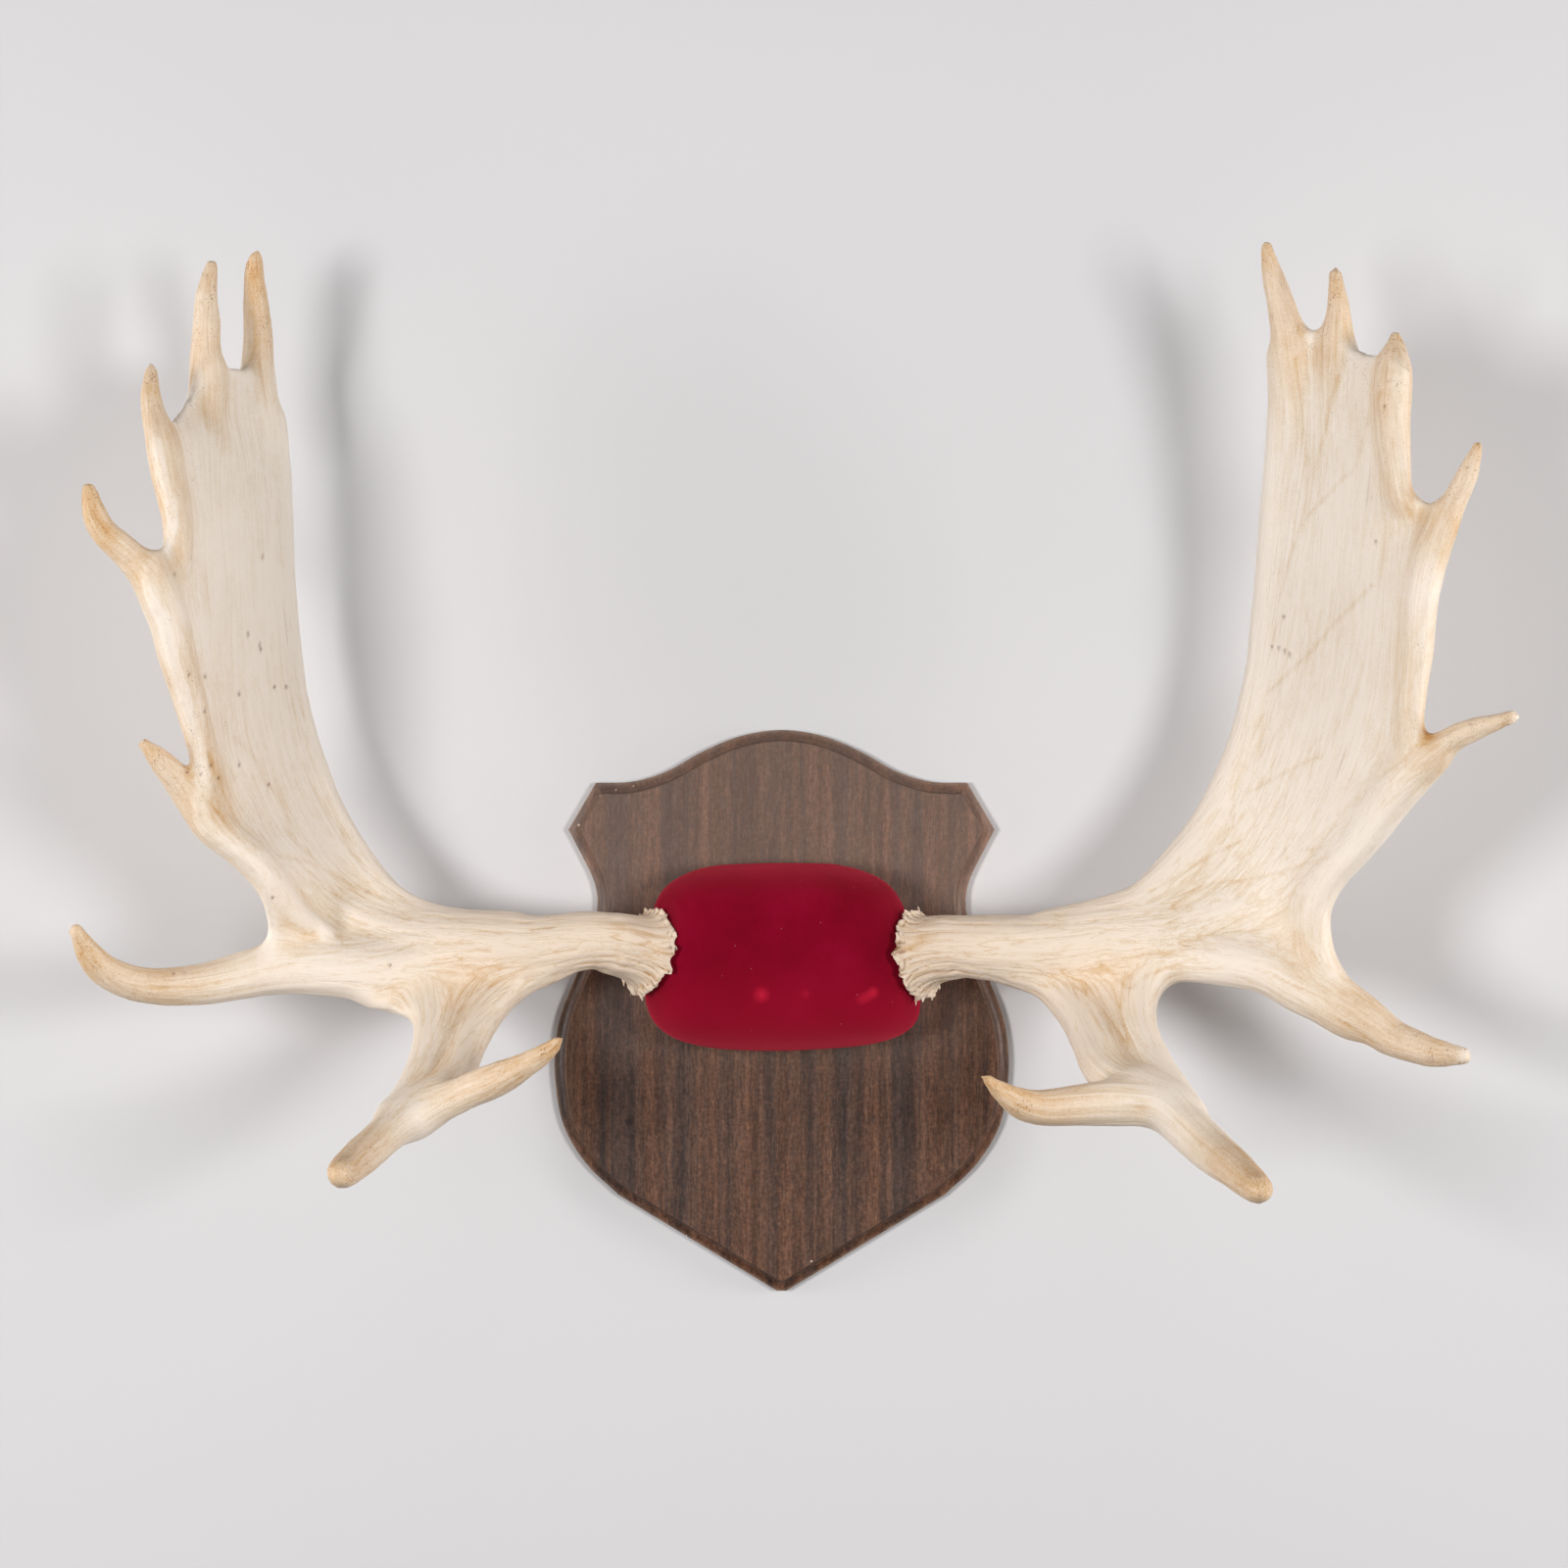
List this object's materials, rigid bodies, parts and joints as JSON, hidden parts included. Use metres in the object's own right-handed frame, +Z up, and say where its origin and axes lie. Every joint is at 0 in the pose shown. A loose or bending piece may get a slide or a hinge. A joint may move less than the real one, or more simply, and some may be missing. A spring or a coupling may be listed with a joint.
{
  "type": "moose antler trophy",
  "caption": "Pair of palmate moose antlers with a velvet skull cover on a shield-shaped wooden wall plaque.",
  "frame": {"origin": "centre of the plaque's flat back, which lies on the wall", "axes": "+Y into the wall, so the trophy faces -Y; +X to the viewer's right, along the spread; +Z up"},
  "size_m": [1.0986, 0.4501, 0.8474],
  "materials": {
    "walnut": "walnut veneer with a satin lacquer and a darker stained edge",
    "velvet": "crimson cotton velvet with a short pile",
    "antler": "dry ivory bone with fine long grain, browner at the tines' tips"
  },
  "bodies": {
    "root": {"plaque": "walnut", "velvet_cover": "velvet", "left_beam": "antler", "left_palm": "antler", "left_lateral_tine": "antler", "left_brow_palm": "antler", "right_beam": "antler", "right_palm": "antler", "right_lateral_tine": "antler", "right_brow_palm": "antler"}
  },
  "joints": []
}
